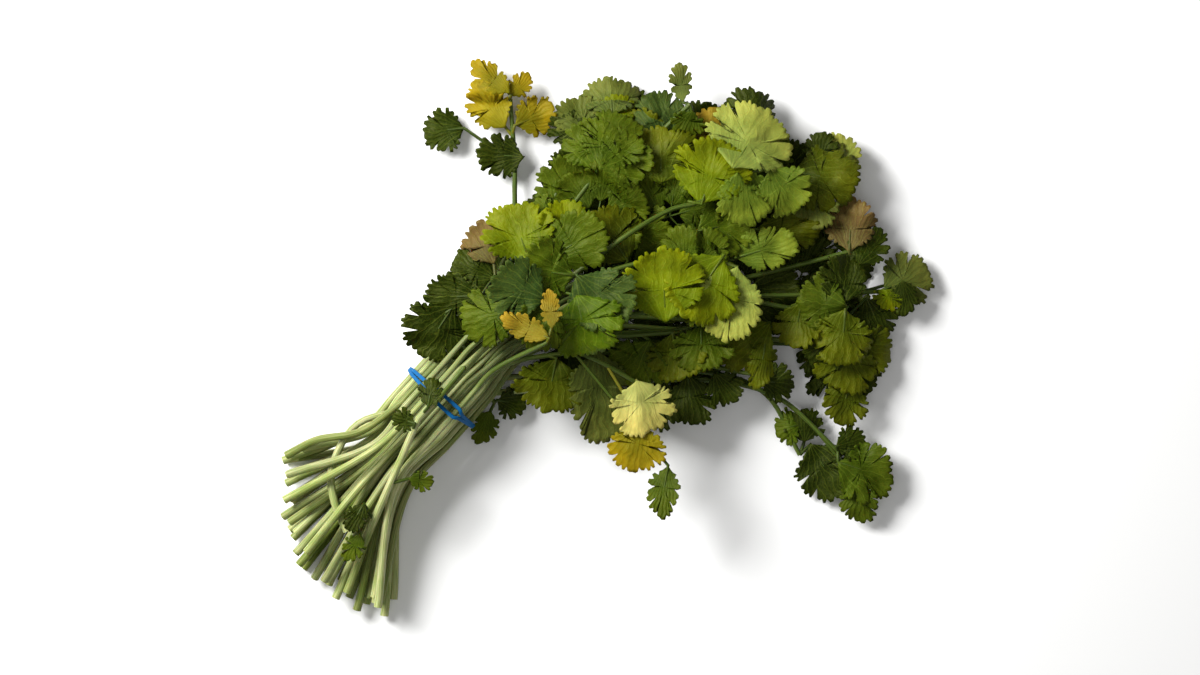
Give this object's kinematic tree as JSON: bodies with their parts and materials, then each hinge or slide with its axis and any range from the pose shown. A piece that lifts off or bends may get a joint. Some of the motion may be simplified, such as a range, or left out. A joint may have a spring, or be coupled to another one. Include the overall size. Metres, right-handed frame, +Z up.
{
  "type": "coriander bunch",
  "caption": "Bunch of fresh coriander lying on its side: round pale stems held by a blue rubber band, fanning out to lobed, toothed leaves.",
  "frame": {"origin": "on the surface that the bunch lies on, under the middle of the rubber band", "axes": "+X along the length of the bunch as it lies, towards the leaves; +Y across it; +Z up from the surface"},
  "size_m": [0.2939, 0.2503, 0.0584],
  "materials": {
    "leaf_dark": "satin",
    "leaf_green": "satin",
    "leaf_blue_green": "satin",
    "leaf_olive": "satin",
    "leaf_lime": "satin",
    "leaf_light": "satin",
    "leaf_yellow": "satin",
    "leaf_brown": "satin",
    "rubber_band": "satin"
  },
  "bodies": {
    "root": {"leafy_stem_01": "leaf_dark", "leafy_stem_02": "leaf_dark", "leafy_stem_03": "leaf_dark", "leafy_stem_04": "leaf_dark", "leafy_stem_05": "leaf_dark", "leafy_stem_06": "leaf_dark", "leafy_stem_07": "leaf_dark", "leafy_stem_08": "leaf_dark", "leafy_stem_09": "leaf_dark", "leafy_stem_10": "leaf_dark", "leafy_stem_11": "leaf_dark", "leafy_stem_12": "leaf_dark", "leafy_stem_13": "leaf_olive", "leafy_stem_14": "leaf_dark", "leafy_stem_15": "leaf_olive", "leafy_stem_16": "leaf_yellow", "leafy_stem_17": "leaf_blue_green", "leafy_stem_18": "leaf_blue_green", "leafy_stem_19": "leaf_blue_green", "leafy_stem_20": "leaf_green", "leafy_stem_21": "leaf_yellow", "leafy_stem_22": "leaf_green", "leafy_stem_23": "leaf_brown", "leafy_stem_24": "leaf_light", "leafy_stem_25": "leaf_olive", "leafy_stem_26": "leaf_olive", "leafy_stem_27": "leaf_lime", "leafy_stem_28": "leaf_light", "leafy_stem_29": "leaf_green", "leafy_stem_30": "leaf_green", "leafy_stem_31": "leaf_olive", "leafy_stem_32": "leaf_green", "leafy_stem_33": "leaf_green", "leafy_stem_34": "leaf_light", "leafy_stem_35": "leaf_lime", "leafy_stem_36": "leaf_lime", "leafy_stem_37": "leaf_blue_green", "leafy_stem_38": "leaf_dark", "leafy_stem_39": "leaf_dark", "leafy_stem_40": "leaf_yellow", "leafy_stem_41": "leaf_lime", "leafy_stem_42": "leaf_green", "leafy_stem_43": "leaf_blue_green", "leafy_stem_44": "leaf_yellow", "young_sprig": "leaf_green", "rubber_band": "rubber_band"}
  },
  "joints": []
}
